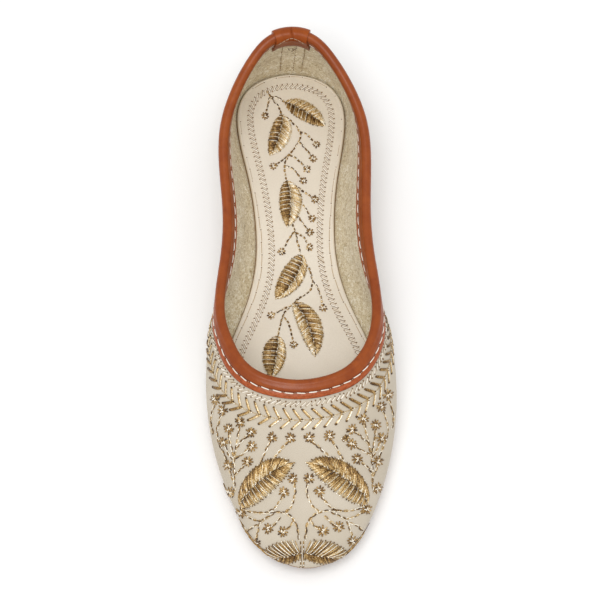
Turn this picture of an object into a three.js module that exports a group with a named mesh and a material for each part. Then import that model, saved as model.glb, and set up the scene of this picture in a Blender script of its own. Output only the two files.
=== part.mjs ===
// One mojari: a flat slip-on shoe with a soft hollow upper, a bound collar and a leather sole.
// Millimetres. +Z is up, the toe points along -Y and the heel along +Y. The last is nearly straight:
// the sole is the same on both sides of the X = 0 plane, and the instep leans a little inwards.
import * as THREE from 'three';
import { mergeVertices } from 'three/addons/utils/BufferGeometryUtils.js';

// Driving dimensions.
const WALL = 1.8; // upper: outer skin, filler and lining together
const SOLE = 3.0; // leather outsole
const SOLE_EDGE = 0.8; // how far the outsole stands out beyond the foot of the wall
const HEEL_LIFT = 4.5;
const INSOLE = 2.2;
const GAP = 0.3; // between pieces that touch in the real shoe
const INSOLE_PLAY = 0.3; // between the insole's edge and the wall
const TOE_SPRING = 6.0; // rise of the outsole's underside at the toe tip
const TREAD_FRONT = -66; // the forepart lies flat on the ground from here
const TREAD_BACK = -30; // to here
const HEEL_BREAST = 62; // front face of the heel lift
const TOE_END = -124;

const BINDING = 1.0; // leather folded over the collar
const FLANGE = 5.6; // depth of its two stitched edges below the collar
const ROLL = 1.85; // radius of the padded roll, to the middle of the leather
const ROLL_RISE = 0.9; // height of the roll's centre above the wall's rim
const TAB = 1.1; // heel tab leather
const TAB_HALF_WIDTH = 8.0;
const TAB_DEPTH = 12.5; // how far the tab reaches down, inside and outside

const RING = 90; // sections round the shoe
const WALL_STEPS = 11; // steps up the wall
const ROLL_STEPS = 7; // steps over the roll
const ACROSS = 4; // steps across the sole and insole

// Sections of the upper from the toe tip round one side to the heel seam. Each wall profile is a
// cubic Bezier curve from its foot on the sole to its rim at the collar: swell and rise set how it
// leaves the foot (outwards, upwards), flare and drop how it comes to the rim. Lean carries the rim
// of both sides towards -X, the inner side of this left shoe, where the instep is highest.
const COLUMNS = [
  'footX', 'footY', 'rimX', 'rimY', 'rimZ', 'swell', 'rise', 'flare', 'drop', 'lean',
];
const SECTIONS = [
  [0.0, -121.8, 0.0, -47.9, 44.0, 11.0, 13.0, 38.0, 13.0, 1.5], // toe tip to throat
  [11.7, -118.4, 6.3, -47.4, 43.9, 10.5, 13.0, 34.0, 12.0, 1.5],
  [23.3, -107.3, 12.7, -46.0, 43.7, 9.7, 13.0, 28.0, 11.0, 1.4], // toe corner
  [32.6, -89.0, 18.9, -43.6, 43.3, 7.6, 13.0, 22.0, 10.0, 1.3],
  [38.7, -69.0, 24.7, -39.6, 42.6, 6.3, 13.0, 16.0, 9.0, 1.2], // ball
  [41.0, -48.0, 30.0, -33.2, 41.7, 7.0, 13.0, 11.0, 9.0, 1.0],
  [38.8, -28.5, 34.1, -24.4, 40.5, 9.2, 12.0, 8.0, 9.0, 0.7],
  [33.2, -11.0, 36.8, -12.2, 38.6, 11.4, 12.0, 4.2, 10.0, 1.0], // side of the throat
  [26.8, 4.0, 36.2, 1.0, 37.0, 10.8, 11.0, -0.8, 10.0, 0.9],
  [21.4, 23.0, 33.3, 20.0, 36.0, 8.2, 10.0, -4.8, 10.0, 0.4], // waist
  [20.4, 43.0, 32.3, 40.0, 36.4, 7.3, 10.0, -5.4, 10.0, 0.0],
  [22.8, 66.0, 33.4, 62.0, 38.8, 7.6, 11.0, -4.8, 11.0, 0.0], // front of the heel
  [26.7, 87.0, 32.5, 81.5, 41.8, 5.2, 12.0, -1.6, 12.0, 0.0],
  [26.9, 103.7, 27.5, 96.8, 45.0, 3.4, 13.0, 1.6, 13.0, 0.0], // side of the heel
  [19.6, 116.1, 19.0, 111.4, 49.0, 2.8, 14.0, 2.4, 14.0, 0.0],
  [9.7, 121.1, 10.0, 120.0, 52.4, 2.3, 15.0, 1.6, 15.0, 0.0],
  [0.0, 122.4, 0.0, 122.3, 53.5, 2.3, 15.0, 1.2, 15.0, 0.0], // heel seam
];
const MIRRORED = ['footX', 'rimX']; // these change sign across the middle plane

// Distance along the sections, halfway between the foot line and the rim line.
const KNOTS = SECTIONS.reduce((knots, row, i) => {
  if (i === 0) return [0];
  const before = SECTIONS[i - 1];
  const foot = Math.hypot(row[0] - before[0], row[1] - before[1]);
  const rim = Math.hypot(row[2] - before[2], row[3] - before[3]);
  return [...knots, knots[i - 1] + (foot + rim) / 2];
}, []);
const HALF_RING = KNOTS[KNOTS.length - 1];

// Smooth curve through one column of the table: a cubic spline whose ends are level, or, for a
// column that changes sign at the middle plane, straight.
function column(name) {
  const values = SECTIONS.map((row) => row[COLUMNS.indexOf(name)]);
  const odd = MIRRORED.includes(name);
  const last = values.length - 1;
  const step = (i) => KNOTS[i + 1] - KNOTS[i];
  const slope = (i) => (values[i + 1] - values[i]) / step(i);
  const diagonal = [];
  const right = [];
  for (let i = 0; i <= last; i += 1) {
    const below = i === 0 ? 0 : step(i - 1);
    const above = i === last ? 0 : step(i);
    const end = odd && (i === 0 || i === last);
    diagonal[i] = end ? 1 : 2 * (below + above);
    right[i] = end ? 0 : 6 * ((i === last ? 0 : slope(i)) - (i === 0 ? 0 : slope(i - 1)));
    if (i === 0) continue;
    const lower = end ? 0 : below;
    const upper = odd && i === 1 ? 0 : below;
    diagonal[i] -= (lower / diagonal[i - 1]) * upper;
    right[i] -= (lower / diagonal[i - 1]) * right[i - 1];
  }
  const bend = [];
  for (let i = last; i >= 0; i -= 1) {
    const above = i === last || (odd && i === 0) ? 0 : step(i) * bend[i + 1];
    bend[i] = (right[i] - above) / diagonal[i];
  }
  return (t) => {
    const i = Math.max(0, KNOTS.findLastIndex((knot, k) => k < last && knot <= t));
    const h = step(i);
    const a = (KNOTS[i + 1] - t) / h;
    const b = (t - KNOTS[i]) / h;
    const bulge = ((a ** 3 - a) * bend[i] + (b ** 3 - b) * bend[i + 1]) * (h * h) / 6;
    return a * values[i] + b * values[i + 1] + bulge;
  };
}
const CURVES = Object.fromEntries(COLUMNS.map((name) => [name, column(name)]));

// The table's value at a place on the whole ring, 0 at the toe and HALF_RING at the heel.
function at(name, ring) {
  const turn = 2 * HALF_RING;
  const t = ((ring % turn) + turn) % turn;
  const back = t > HALF_RING;
  const value = CURVES[name](back ? turn - t : t);
  return back && MIRRORED.includes(name) ? -value : value;
}

const smooth = (x) => THREE.MathUtils.smoothstep(x, 0, 1);

// Height of the outsole's underside: toe spring, flat tread, shank rise, flat seat.
function underside(y) {
  if (y < TREAD_FRONT) return TOE_SPRING * ((TREAD_FRONT - y) / (TREAD_FRONT - TOE_END)) ** 2;
  const rise = (y - TREAD_BACK) / (HEEL_BREAST - TREAD_BACK);
  return (HEEL_LIFT + GAP) * smooth(rise);
}
const soleTop = (y) => underside(y) + SOLE;

// A line in plan, moved sideways by a distance (outwards when positive).
function planLine(xName, yName, ring, out) {
  const reach = 0.5;
  const x = at(xName, ring);
  const y = at(yName, ring);
  const dx = at(xName, ring + reach) - at(xName, ring - reach);
  const dy = at(yName, ring + reach) - at(yName, ring - reach);
  const length = Math.hypot(dx, dy);
  return [x + (out * dy) / length, y - (out * dx) / length];
}

// A point on the upper's outer face: up = 0 at the sole, 1 at the rim.
function face(ring, up) {
  const [x0, y0] = planLine('footX', 'footY', ring, 0);
  const [x1, y1] = planLine('footX', 'footY', ring, at('swell', ring));
  const [x2, y2] = planLine('rimX', 'rimY', ring, at('flare', ring));
  const [x3, y3] = planLine('rimX', 'rimY', ring, 0);
  const z0 = soleTop(y0) + GAP;
  const z3 = at('rimZ', ring);
  const lean = at('lean', ring);
  return new THREE.CubicBezierCurve3(
    new THREE.Vector3(x0, y0, z0),
    new THREE.Vector3(x1, y1, z0 + at('rise', ring)),
    new THREE.Vector3(x2 - lean, y2, z3 - at('drop', ring)),
    new THREE.Vector3(x3 - lean, y3, z3),
  ).getPoint(up);
}

// Outward direction on the face. Near the sole it turns level, so the wall stands square on it.
const SQUARE_FOOT = 0.1;
function outward(ring, up) {
  const reach = 0.01;
  const high = Math.min(1, up + reach);
  const low = Math.max(0, up - reach);
  const along = face(ring + 0.5, up).sub(face(ring - 0.5, up));
  const rising = face(ring, high).sub(face(ring, low));
  const out = along.cross(rising).normalize();
  out.z *= Math.min(1, up / SQUARE_FOOT);
  return out.normalize();
}

// A point beside the collar: depth below the rim along the wall (negative above it), and distance
// out from the outer face.
function beside(ring, depth, out) {
  let up = 1;
  if (depth > 0) {
    const rim = face(ring, 1);
    up = 0.9;
    for (let i = 0; i < 6; i += 1) up = 1 - ((1 - up) * depth) / rim.distanceTo(face(ring, up));
  }
  const point = face(ring, up).addScaledVector(outward(ring, up), out);
  if (depth >= 0) return point;
  const rising = face(ring, 1).sub(face(ring, 0.99)).normalize();
  return point.addScaledVector(rising, -depth);
}

// Closed skin over a row of sections. Each section is a loop of points, the second half of it
// lying behind the first half, so that an open row can be capped with quads.
function loft(sections, closed) {
  const count = sections[0].length;
  const points = sections.flat();
  const index = [];
  const quad = (a, b, c, d) => index.push(a, b, c, a, c, d);
  const rows = closed ? sections.length : sections.length - 1;
  for (let i = 0; i < rows; i += 1) {
    const here = i * count;
    const next = ((i + 1) % sections.length) * count;
    for (let j = 0; j < count; j += 1) {
      const k = (j + 1) % count;
      quad(here + j, next + j, next + k, here + k);
    }
  }
  for (let j = 0; !closed && j < count / 2 - 1; j += 1) {
    const end = (sections.length - 1) * count;
    quad(j, j + 1, count - 2 - j, count - 1 - j);
    quad(end + j, end + count - 1 - j, end + count - 2 - j, end + j + 1);
  }
  const skin = new THREE.BufferGeometry();
  skin.setAttribute('position', new THREE.BufferAttribute(
    new Float32Array(points.flatMap((p) => [p.x, p.y, p.z])),
    3,
  ));
  skin.setIndex(index);
  const merged = mergeVertices(skin, 1e-4);
  const used = Array.from(merged.index.array);
  const whole = [];
  for (let i = 0; i < used.length; i += 3) {
    const [a, b, c] = used.slice(i, i + 3);
    if (a !== b && b !== c && c !== a) whole.push(a, b, c);
  }
  merged.setIndex(whole);
  merged.computeVertexNormals();
  return merged;
}

const ringPlaces = Array.from({ length: RING }, (_, i) => (2 * HALF_RING * i) / RING);

// A strip's section: points of (depth, out) along its middle, given thickness to both sides.
function stripSection(ring, path, thickness) {
  const side = (sign) => path.map(([depth, out], i) => {
    const [d0, o0] = path[Math.max(0, i - 1)];
    const [d1, o1] = path[Math.min(path.length - 1, i + 1)];
    const length = Math.hypot(d1 - d0, o1 - o0);
    const shift = (sign * thickness) / 2 / length;
    return beside(ring, depth - (o1 - o0) * shift, out + (d1 - d0) * shift);
  });
  return [...side(-1), ...side(1).reverse()];
}

// Path over the roll, from the outer side to the inner side.
function rollPath(radius, from, steps) {
  return Array.from({ length: steps + 1 }, (_, i) => {
    const angle = from + ((Math.PI - 2 * from) * i) / steps;
    return [-ROLL_RISE - radius * Math.sin(angle), -WALL / 2 + radius * Math.cos(angle)];
  });
}
const innerSide = (path) => path.map(([depth, out]) => [depth, -WALL - out]).reverse();

function upper() {
  const sections = ringPlaces.map((ring) => {
    const steps = Array.from({ length: WALL_STEPS + 1 }, (_, i) => (i / WALL_STEPS) ** 0.9);
    const outer = steps.map((up) => face(ring, up));
    const inner = steps.map((up) => face(ring, up).addScaledVector(outward(ring, up), -WALL));
    return [...outer, ...inner.reverse()];
  });
  return loft(sections, true);
}

function collarBinding() {
  const seat = GAP + BINDING / 2;
  const flange = [[FLANGE, seat], [FLANGE / 2, seat]];
  const path = [...flange, ...rollPath(ROLL, -0.4, ROLL_STEPS), ...innerSide(flange)];
  return loft(ringPlaces.map((ring) => stripSection(ring, path, BINDING)), true);
}

function heelTab() {
  const onWall = GAP + TAB / 2;
  const onFlange = onWall + BINDING + GAP;
  const leg = [[TAB_DEPTH, onWall], [FLANGE + 2.6, onWall], [FLANGE + 0.4, onFlange], [2, onFlange]];
  const radius = ROLL + (BINDING + TAB) / 2 + GAP;
  const path = [...leg, ...rollPath(radius, -0.2, ROLL_STEPS), ...innerSide(leg)];
  const steps = 6;
  const sections = Array.from({ length: steps + 1 }, (_, i) => {
    const ring = HALF_RING + TAB_HALF_WIDTH * ((2 * i) / steps - 1);
    return stripSection(ring, path, TAB);
  });
  return loft(sections, false);
}

// A level plate inside the foot line: rungs across it, between two places on the ring.
function plate(out, from, to, bottom, top) {
  const steps = Math.round((RING / 2) * ((to - from) / HALF_RING));
  const rungs = Array.from({ length: steps + 1 }, (_, i) => {
    const ring = from + ((to - from) * i) / steps;
    const [x, y] = planLine('footX', 'footY', ring, out);
    const level = (height) => Array.from({ length: ACROSS + 1 }, (_, j) => (
      new THREE.Vector3(x * (1 - (2 * j) / ACROSS), y, height(y))
    ));
    return [...level(top), ...level(bottom).reverse()];
  });
  return loft(rungs, false);
}

// The place on the ring where the foot line passes a given Y.
function ringAt(y) {
  let low = 0;
  let high = HALF_RING;
  while (high - low > 1e-6) {
    const middle = (low + high) / 2;
    if (at('footY', middle) < y) low = middle; else high = middle;
  }
  return low;
}

const insoleBottom = (y) => soleTop(y) + GAP;
const insoleTop = (y) => insoleBottom(y) + INSOLE;
const leather = (color, roughness) => ({ color, roughness, metalness: 0 });
const PIECES = {
  outsole: [plate(SOLE_EDGE, 0, HALF_RING, underside, soleTop), leather(0x9a7350, 0.7)],
  heel_lift: [
    plate(SOLE_EDGE - GAP, ringAt(HEEL_BREAST), HALF_RING, () => 0, () => HEEL_LIFT),
    leather(0x6f4d33, 0.75),
  ],
  insole: [
    plate(-WALL - INSOLE_PLAY, 0, HALF_RING, insoleBottom, insoleTop),
    leather(0xdcd4c6, 0.8),
  ],
  upper: [upper(), leather(0xd7cdbe, 0.75)],
  collar_binding: [collarBinding(), leather(0xaf552d, 0.45)],
  heel_tab: [heelTab(), leather(0xa54d27, 0.45)],
};

const mojari = new THREE.Group();
for (const [name, [geometry, finish]] of Object.entries(PIECES)) {
  const piece = new THREE.Mesh(geometry, new THREE.MeshStandardMaterial(finish));
  piece.name = name;
  mojari.add(piece);
}

export default mojari;
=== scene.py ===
"""A mojari shoe, put together as its maker does: the upper and its lining, the embroidery, the
collar binding and heel tab, the insole, the outsole and the heel lift. Shapes are worked out in
millimetres in the shoe's own frame, toe along -Y and heel along +Y, on the ground at Z = 0."""

import bmesh
import bpy
import numpy as np
from mathutils import Matrix, Vector


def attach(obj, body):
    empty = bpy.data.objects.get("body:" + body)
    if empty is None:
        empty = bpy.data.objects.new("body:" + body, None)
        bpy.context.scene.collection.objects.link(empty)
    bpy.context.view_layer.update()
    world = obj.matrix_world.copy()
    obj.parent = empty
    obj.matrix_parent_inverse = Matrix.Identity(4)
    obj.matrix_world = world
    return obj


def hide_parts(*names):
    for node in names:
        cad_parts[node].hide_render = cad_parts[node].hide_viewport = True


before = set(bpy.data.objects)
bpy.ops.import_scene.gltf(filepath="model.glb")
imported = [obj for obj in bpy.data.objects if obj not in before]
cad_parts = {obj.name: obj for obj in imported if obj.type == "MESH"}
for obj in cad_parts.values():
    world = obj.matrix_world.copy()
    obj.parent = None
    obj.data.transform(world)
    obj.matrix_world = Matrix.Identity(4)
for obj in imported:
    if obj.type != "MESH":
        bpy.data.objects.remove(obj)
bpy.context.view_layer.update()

# ---- Upper -------------------------------------------------------------------------------------
# A cover of cream leather, drawn over the last in one piece from the throat to the heel seam. Its
# wall is a row of curved profiles round the shoe, each from the sole up to the collar's rim.
WALL = 1.8
COVER = 1.0
GAP = 0.3
SOLE = 3.0
HEEL_LIFT = 4.5
TOE_SPRING = 6.0
TREAD_FRONT, TREAD_BACK = -66.0, -30.0
HEEL_BREAST, TOE_END = 62.0, -124.0

COLUMNS = ("footX", "footY", "rimX", "rimY", "rimZ", "swell", "rise", "flare", "drop", "lean")
SECTIONS = np.array([
    (0.0, -121.8, 0.0, -47.9, 44.0, 11.0, 13.0, 38.0, 13.0, 1.5),  # toe tip to throat
    (11.7, -118.4, 6.3, -47.4, 43.9, 10.5, 13.0, 34.0, 12.0, 1.5),
    (23.3, -107.3, 12.7, -46.0, 43.7, 9.7, 13.0, 28.0, 11.0, 1.4),  # toe corner
    (32.6, -89.0, 18.9, -43.6, 43.3, 7.6, 13.0, 22.0, 10.0, 1.3),
    (38.7, -69.0, 24.7, -39.6, 42.6, 6.3, 13.0, 16.0, 9.0, 1.2),  # ball
    (41.0, -48.0, 30.0, -33.2, 41.7, 7.0, 13.0, 11.0, 9.0, 1.0),
    (38.8, -28.5, 34.1, -24.4, 40.5, 9.2, 12.0, 8.0, 9.0, 0.7),
    (33.2, -11.0, 36.8, -12.2, 38.6, 11.4, 12.0, 4.2, 10.0, 1.0),  # side of the throat
    (26.8, 4.0, 36.2, 1.0, 37.0, 10.8, 11.0, -0.8, 10.0, 0.9),
    (21.4, 23.0, 33.3, 20.0, 36.0, 8.2, 10.0, -4.8, 10.0, 0.4),  # waist
    (20.4, 43.0, 32.3, 40.0, 36.4, 7.3, 10.0, -5.4, 10.0, 0.0),
    (22.8, 66.0, 33.4, 62.0, 38.8, 7.6, 11.0, -4.8, 11.0, 0.0),  # front of the heel
    (26.7, 87.0, 32.5, 81.5, 41.8, 5.2, 12.0, -1.6, 12.0, 0.0),
    (26.9, 103.7, 27.5, 96.8, 45.0, 3.4, 13.0, 1.6, 13.0, 0.0),  # side of the heel
    (19.6, 116.1, 19.0, 111.4, 49.0, 2.8, 14.0, 2.4, 14.0, 0.0),
    (9.7, 121.1, 10.0, 120.0, 52.4, 2.3, 15.0, 1.6, 15.0, 0.0),
    (0.0, 122.4, 0.0, 122.3, 53.5, 2.3, 15.0, 1.2, 15.0, 0.0),  # heel seam
])
MIRRORED = ("footX", "rimX")
foot_steps = np.hypot(*np.diff(SECTIONS[:, 0:2], axis=0).T)
rim_steps = np.hypot(*np.diff(SECTIONS[:, 2:4], axis=0).T)
KNOTS = np.concatenate([[0.0], np.cumsum((foot_steps + rim_steps) / 2)])
HALF_RING = KNOTS[-1]


def bend_at_knots(values, mirrored):
    """Second slopes of a cubic spline at its knots, from one linear system. The ends are level,
    or straight in a column that changes sign at the middle plane."""
    h = np.diff(KNOTS)
    slope = np.diff(values) / h
    system = np.diag(np.append(2 * h, 0)) + np.diag(np.insert(2 * h, 0, 0))
    system += np.diag(h, 1) + np.diag(h, -1)
    right = 6 * (np.append(slope, 0) - np.insert(slope, 0, 0))
    if mirrored:
        system[[0, -1]] = 0
        system[0, 0] = system[-1, -1] = 1
        right[[0, -1]] = 0
    return np.linalg.solve(system, right)


BENDS = {name: bend_at_knots(SECTIONS[:, i], name in MIRRORED) for i, name in enumerate(COLUMNS)}


def at(name, ring):
    """A column's value at places on the ring: 0 at the toe, HALF_RING at the heel seam, and the
    mirror image on the other side."""
    t = np.mod(ring, 2 * HALF_RING)
    other = t > HALF_RING
    t = np.where(other, 2 * HALF_RING - t, t)
    i = np.clip(np.searchsorted(KNOTS, t, side="right") - 1, 0, len(KNOTS) - 2)
    h = KNOTS[i + 1] - KNOTS[i]
    a, b = (KNOTS[i + 1] - t) / h, (t - KNOTS[i]) / h
    values, bends = SECTIONS[:, COLUMNS.index(name)], BENDS[name]
    value = a * values[i] + b * values[i + 1]
    value = value + ((a**3 - a) * bends[i] + (b**3 - b) * bends[i + 1]) * h * h / 6
    return np.where(other, -value, value) if name in MIRRORED else value


def smooth(x):
    """A soft step from 0 to 1: three squares less two cubes."""
    x = np.clip(x, 0, 1)
    return x * x * (3 - 2 * x)


def underside(y):
    """Height of the outsole's underside: toe spring as a parabola, a level tread, and the shank's
    rise to the heel."""
    spring = TOE_SPRING * ((TREAD_FRONT - y) / (TREAD_FRONT - TOE_END)) ** 2
    shank = (HEEL_LIFT + GAP) * smooth((y - TREAD_BACK) / (HEEL_BREAST - TREAD_BACK))
    return np.where(y < TREAD_FRONT, spring, shank)


def plan_line(line, ring, out):
    """The foot line or the rim line in plan, moved sideways along its normal, which is its
    direction a quarter turn round."""
    def xy(place):
        """The line's point in plan."""
        return np.stack([at(line + "X", place), at(line + "Y", place)])
    ahead = xy(ring + 0.5) - xy(ring - 0.5)
    x, y = xy(ring) + out * np.stack([ahead[1], -ahead[0]]) / np.hypot(*ahead)
    return x, y


def face(ring, up):
    """The upper's outer face: a cubic Bezier curve from the foot, up = 0, to the rim, up = 1."""
    ring, up = np.broadcast_arrays(np.asarray(ring, float), np.asarray(up, float))
    z0 = underside(at("footY", ring)) + SOLE + GAP
    z3, lean = at("rimZ", ring), at("lean", ring)
    x0, y0 = plan_line("foot", ring, 0)
    x1, y1 = plan_line("foot", ring, at("swell", ring))
    x2, y2 = plan_line("rim", ring, at("flare", ring))
    x3, y3 = plan_line("rim", ring, 0)
    corners = (
        (x0, y0, z0),
        (x1, y1, z0 + at("rise", ring)),
        (x2 - lean, y2, z3 - at("drop", ring)),
        (x3 - lean, y3, z3),
    )
    down = 1 - up
    weights = (down**3, 3 * down**2 * up, 3 * down * up**2, up**3)
    return sum(w[..., None] * np.stack(c, -1) for w, c in zip(weights, corners))


def unit(vectors):
    """Each vector divided by its length."""
    return vectors / np.maximum(np.linalg.norm(vectors, axis=-1, keepdims=True), 1e-12)


def outward(ring, up):
    """Outward normal of the face: its direction along the ring crossed with its direction up the
    wall, turned level near the sole so that the wall stands square."""
    ring, up = np.broadcast_arrays(np.asarray(ring, float), np.asarray(up, float))
    along = face(ring + 0.5, up) - face(ring - 0.5, up)
    rising = face(ring, np.minimum(1, up + 0.01)) - face(ring, np.maximum(0, up - 0.01))
    out = unit(np.cross(along, rising))
    out[..., 2] *= np.minimum(1, up / 0.1)
    return unit(out)


def quads(rows, cols, wrap=True):
    """Corner numbers of the quads between a row of closed loops of points. wrap joins the last
    loop to the first."""
    r = np.arange(rows if wrap else rows - 1)[:, None]
    c = np.arange(cols)[None, :]
    r1, c1 = (r + 1) % rows, (c + 1) % cols
    return np.stack([r * cols + c, r1 * cols + c, r1 * cols + c1, r * cols + c1], -1).reshape(-1, 4)


def add_piece(name, points, faces, material, fields=None, sharp=60):
    """A smooth mesh from points in millimetres and groups of faces, riding on the shoe. fields
    holds one number for each point under a name, for the material to read."""
    mesh = bpy.data.meshes.new(name)
    points = np.asarray(points, float).reshape(-1, 3) * 0.001
    corners = np.concatenate([group.ravel() for group in faces])
    sizes = np.concatenate([np.full(len(group), group.shape[1]) for group in faces])
    mesh.vertices.add(len(points))
    mesh.vertices.foreach_set("co", points.ravel())
    mesh.loops.add(len(corners))
    mesh.loops.foreach_set("vertex_index", corners.astype(np.int32))
    mesh.polygons.add(len(sizes))
    mesh.polygons.foreach_set("loop_start", (np.cumsum(sizes) - sizes).astype(np.int32))
    mesh.polygons.foreach_set("use_smooth", np.ones(len(sizes), bool))
    mesh.update(calc_edges=True)
    for field, values in (fields or {}).items():
        attribute = mesh.attributes.new(field, "FLOAT", "POINT")
        attribute.data.foreach_set("value", np.asarray(values, np.float32).ravel())
    mesh.set_sharp_from_angle(angle=np.radians(sharp))
    mesh.materials.append(material)
    piece = bpy.data.objects.new(name, mesh)
    bpy.context.scene.collection.objects.link(piece)
    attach(piece, "root")
    return piece


def tint(red, green, blue):
    """A colour as the eye reads it, 0 to 255, turned into the amounts of light that a shader takes."""
    return tuple((c / 255) ** 2.2 for c in (red, green, blue))


class Finish:
    """A procedural surface put together node by node. Sizes and depths are in millimetres."""

    def __init__(self, name, roughness, **sockets):
        self.material = bpy.data.materials.new(name)
        self.material.use_nodes = True
        self.nodes = self.material.node_tree.nodes
        self.links = self.material.node_tree.links
        self.shader = self.nodes["Principled BSDF"]
        self.shader.inputs["Roughness"].default_value = roughness
        for socket, value in sockets.items():
            self.shader.inputs[socket.replace("_", " ")].default_value = value
        self.place = self.node("ShaderNodeTexCoord").outputs["Object"]

    def node(self, kind, inputs=None, **settings):
        """A new shader node, each input linked to another node's output or given a value."""
        made = self.nodes.new(kind)
        for setting, value in settings.items():
            setattr(made, setting, value)
        for socket, value in (inputs or {}).items():
            if isinstance(value, bpy.types.NodeSocket):
                self.links.new(value, made.inputs[socket])
            else:
                made.inputs[socket].default_value = value
        return made

    def noise(self, size, detail=3.0, roughness=0.55, stretch=(1, 1, 1), curl=0.0):
        """Cloudy noise with lumps of about the given size, squeezed along each axis by stretch and
        twisted by curl."""
        where = self.node("ShaderNodeMapping", {"Vector": self.place, "Scale": stretch}).outputs[0]
        inputs = {"Vector": where, "Scale": 1000 / size, "Detail": detail, "Roughness": roughness}
        inputs["Distortion"] = curl
        return self.node("ShaderNodeTexNoise", inputs).outputs["Fac"]

    def cells(self, size):
        """Distance from the middle of pebble-like cells of the given size."""
        inputs = {"Vector": self.place, "Scale": 1000 / size}
        return self.node("ShaderNodeTexVoronoi", inputs).outputs["Distance"]

    def field(self, name):
        """The number that the mesh holds for each point under this name."""
        return self.node("ShaderNodeAttribute", attribute_name=name).outputs["Fac"]

    def math(self, operation, *values):
        """One sum on numbers or on other nodes' outputs."""
        return self.node("ShaderNodeMath", dict(enumerate(values)), operation=operation).outputs[0]

    def span(self, value, low, high, to_low=0.0, to_high=1.0):
        """A value's range from low to high, stretched to another range and held at its ends."""
        inputs = {"Value": value, "From Min": low, "From Max": high}
        inputs.update({"To Min": to_low, "To Max": to_high})
        return self.node("ShaderNodeMapRange", inputs).outputs[0]

    def ramp(self, value, *stops):
        """Colours blended straight from one (position, colour) stop to the next."""
        made = self.node("ShaderNodeValToRGB", {"Fac": value})
        elements = made.color_ramp.elements
        while len(elements) < len(stops):
            elements.new(0.5)
        for element, (position, color) in zip(elements, stops):
            element.position = position
            element.color = (*color, 1)
        return made.outputs["Color"]

    def mix(self, factor, first, second):
        """The first colour at factor 0, the second at factor 1, and a blend between."""
        made = self.node("ShaderNodeMix", data_type="RGBA")
        for socket, value in zip((0, 6, 7), (factor, first, second)):
            if isinstance(value, bpy.types.NodeSocket):
                self.links.new(value, made.inputs[socket])
            else:
                made.inputs[socket].default_value = value if socket == 0 else (*value, 1)
        return made.outputs[2]

    def color(self, value):
        """Takes a node's output as the colour."""
        self.links.new(value, self.shader.inputs["Base Color"])

    def rough(self, value):
        """Takes a node's output as the roughness."""
        self.links.new(value, self.shader.inputs["Roughness"])

    def relief(self, *layers):
        """Bump from heights and their depths, each laid over the last."""
        normal = None
        for height, depth in layers:
            inputs = {"Height": height, "Strength": 1.0, "Distance": depth * 0.001}
            if normal:
                inputs["Normal"] = normal
            normal = self.node("ShaderNodeBump", inputs).outputs["Normal"]
        self.links.new(normal, self.shader.inputs["Normal"])


def wall_side(depth, rings, steps):
    """Points at a depth inside the face, the depth given as a function of ring and up: rings
    profiles round the shoe with steps points each, closer together near the sole."""
    ring = np.linspace(0, 2 * HALF_RING, rings, endpoint=False)[:, None]
    up = np.linspace(0, 1, steps)[None, :] ** 1.1
    return face(ring, up) - depth(ring, up)[..., None] * outward(ring, up)


def add_shell(name, outer, inner, material):
    """A closed shell round the shoe: up its outer side and down its inner side."""
    points = np.concatenate([outer, inner[:, ::-1]], 1)
    return add_piece(name, points, [quads(*points.shape[:2])], material)


cover = Finish("cream_leather", 0.62, Specular_IOR_Level=0.35)
clouds = cover.noise(26, 3)
pores = cover.noise(0.45, 3)
creases = cover.noise(3.5, 4, 0.6)
base_tint = cover.mix(cover.span(clouds, 0.3, 0.7), tint(187, 176, 158), tint(199, 189, 172))
cover.color(cover.mix(cover.span(pores, 0.35, 0.8, 0.0, 0.4), base_tint, tint(188, 172, 148)))
cover.relief((creases, 0.12), (pores, 0.05))

outer = wall_side(lambda ring, up: 0 * up, rings=620, steps=96)
inner = wall_side(lambda ring, up: COVER + 0 * up, rings=620, steps=16)
upper = add_shell("upper_cover", outer, inner, cover.material)
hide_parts("upper")

# ---- Lining ------------------------------------------------------------------------------------
# Khaki suede with its nap side out, cut to the upper's shape and pasted inside the cover. It lies in
# soft upright folds where the waist bends in.
suede = Finish("khaki_suede", 0.95, Specular_IOR_Level=0.12, Sheen_Weight=0.3, Sheen_Roughness=0.5)
nap = suede.noise(1.9, 4, 0.6, curl=1.6)
fibres = suede.noise(0.5, 3, 0.7)
patches = suede.noise(11, 3)
shade = suede.math("MULTIPLY_ADD", nap, 0.6, suede.math("MULTIPLY", fibres, 0.4))
shade = suede.math("MULTIPLY_ADD", patches, 0.16, suede.math("SUBTRACT", shade, 0.08))
suede.color(suede.ramp(shade, (0.37, tint(164, 142, 100)), (0.45, tint(206, 189, 152)),
                       (0.53, tint(222, 209, 176)), (0.61, tint(246, 240, 224))))
suede.relief((patches, 0.7), (nap, 0.5), (fibres, 0.12))


def folds(ring, up):
    """Soft upright folds in the lining: a sum of three waves round the shoe, strongest at the
    waist and half way up."""
    waves = np.sin(ring / 3.1) * np.sin(ring / 7.7 + 1.3) + 0.6 * np.sin(ring / 5.3 + 2.0 + 2 * up)
    waist = np.exp(-(((np.abs(HALF_RING - np.mod(ring, 2 * HALF_RING)) - 105) / 55) ** 2))
    below_collar = smooth((0.84 - up) / 0.25)
    return -0.45 * waist * waves * np.sin(np.pi * up) * below_collar


def lining_depth(ring, up):
    """Depth of the lining's inner side, which only ever swells inward."""
    return WALL - 0.1 + np.maximum(0, folds(ring, up))


outer = wall_side(lambda ring, up: COVER + 0.05 + 0 * up, rings=420, steps=12)
inner = wall_side(lining_depth, rings=420, steps=70)
add_shell("lining", outer, inner, suede.material)

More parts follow.
